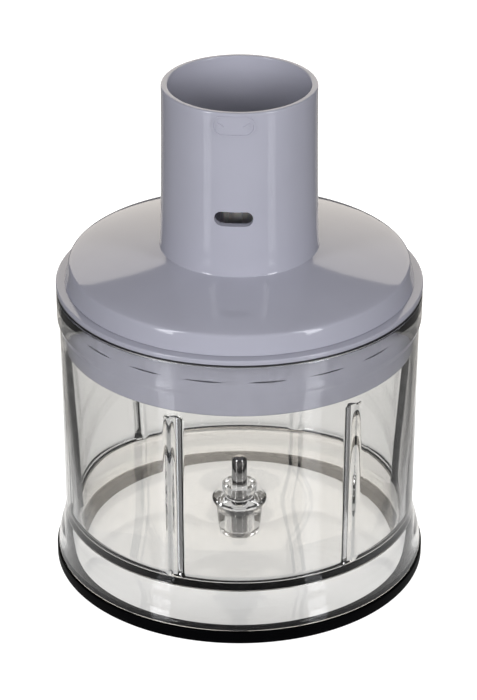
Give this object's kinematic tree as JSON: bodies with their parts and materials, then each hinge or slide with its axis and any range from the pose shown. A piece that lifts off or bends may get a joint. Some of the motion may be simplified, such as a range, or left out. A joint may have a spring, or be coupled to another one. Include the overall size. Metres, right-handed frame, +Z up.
{
  "type": "immersion blender chopper bowl",
  "caption": "Clear chopper bowl with blade pin, anti-slip base ring and geared lid whose tall collar takes the motor unit of an immersion blender.",
  "frame": {"origin": "centre of the base ring's underside, on the table", "axes": "+Z up along the common axis of bowl, lid and collar; -Y is the front, with the latch slot; +X to the right"},
  "size_m": [0.12, 0.12, 0.165],
  "materials": {
    "black_rubber": "matte",
    "clear_plastic": "clear gloss",
    "pin_steel": "polished",
    "lid_base_plastic": "gloss",
    "lid_cover_plastic": "gloss",
    "seal_rubber": "matte",
    "gearbox_plate_plastic": "satin",
    "gear_plastic": "satin",
    "carrier_plastic": "satin",
    "sheet_steel": "brushed",
    "coupling_plastic": "satin",
    "bush_bronze": "satin",
    "shaft_seal_rubber": "matte",
    "gear_steel": "machined",
    "shaft_steel": "ground",
    "dog_plastic": "satin",
    "screw_steel": "zinc plated"
  },
  "bodies": {
    "ring": {"base_ring": "black_rubber"},
    "bowl": {"bowl": "clear_plastic", "blade_pin": "pin_steel"},
    "lid": {"lid_base": "lid_base_plastic", "lid_cover": "lid_cover_plastic", "lid_seal": "seal_rubber", "gearbox_plate": "gearbox_plate_plastic", "ring_gear": "gear_plastic", "output_bush": "bush_bronze", "output_seal": "shaft_seal_rubber", "lower_washer": "sheet_steel", "upper_washer": "sheet_steel", "input_bush": "bush_bronze", "input_seal": "shaft_seal_rubber", "gearbox_screw_1": "screw_steel", "gearbox_screw_2": "screw_steel", "gearbox_screw_3": "screw_steel", "gearbox_screw_4": "screw_steel"},
    "carrier": {"planet_carrier": "carrier_plastic", "carrier_cover": "sheet_steel", "output_coupling": "coupling_plastic", "planet_pin_1": "shaft_steel", "planet_pin_2": "shaft_steel", "planet_pin_3": "shaft_steel"},
    "input": {"sun_gear": "gear_steel", "input_shaft": "shaft_steel", "drive_dog": "dog_plastic", "retaining_clip": "sheet_steel"},
    "planet_1": {"planet_gear_1": "gear_plastic"},
    "planet_2": {"planet_gear_2": "gear_plastic"},
    "planet_3": {"planet_gear_3": "gear_plastic"}
  },
  "joints": [
    {"name": "bowl_lift", "type": "slide", "parent": "ring", "child": "bowl", "axis": [0, 0, 1], "range_m": [0, 0.03]},
    {"name": "lid_lift", "type": "slide", "parent": "bowl", "child": "lid", "axis": [0, 0, 1], "range_m": [0, 0.05]},
    {"name": "output_spin", "type": "hinge", "parent": "lid", "child": "carrier", "pos_m": [0, 0, 0.087], "axis": [0, 0, 1], "continuous": true},
    {"name": "input_spin", "type": "hinge", "parent": "lid", "child": "input", "pos_m": [0, 0, 0.105], "axis": [0, 0, 1], "continuous": true},
    {"name": "planet_1_spin", "type": "hinge", "parent": "carrier", "child": "planet_1", "pos_m": [0, -0.015, 0.093], "axis": [0, 0, 1], "continuous": true},
    {"name": "planet_2_spin", "type": "hinge", "parent": "carrier", "child": "planet_2", "pos_m": [0.01299, 0.0075, 0.093], "axis": [0, 0, 1], "continuous": true},
    {"name": "planet_3_spin", "type": "hinge", "parent": "carrier", "child": "planet_3", "pos_m": [-0.01299, 0.0075, 0.093], "axis": [0, 0, 1], "continuous": true}
  ],
  "couplings": [
    {"joint": "input_spin", "follows": "output_spin", "ratio": 4},
    {"joint": "planet_1_spin", "follows": "output_spin", "ratio": -3},
    {"joint": "planet_2_spin", "follows": "output_spin", "ratio": -3},
    {"joint": "planet_3_spin", "follows": "output_spin", "ratio": -3}
  ]
}
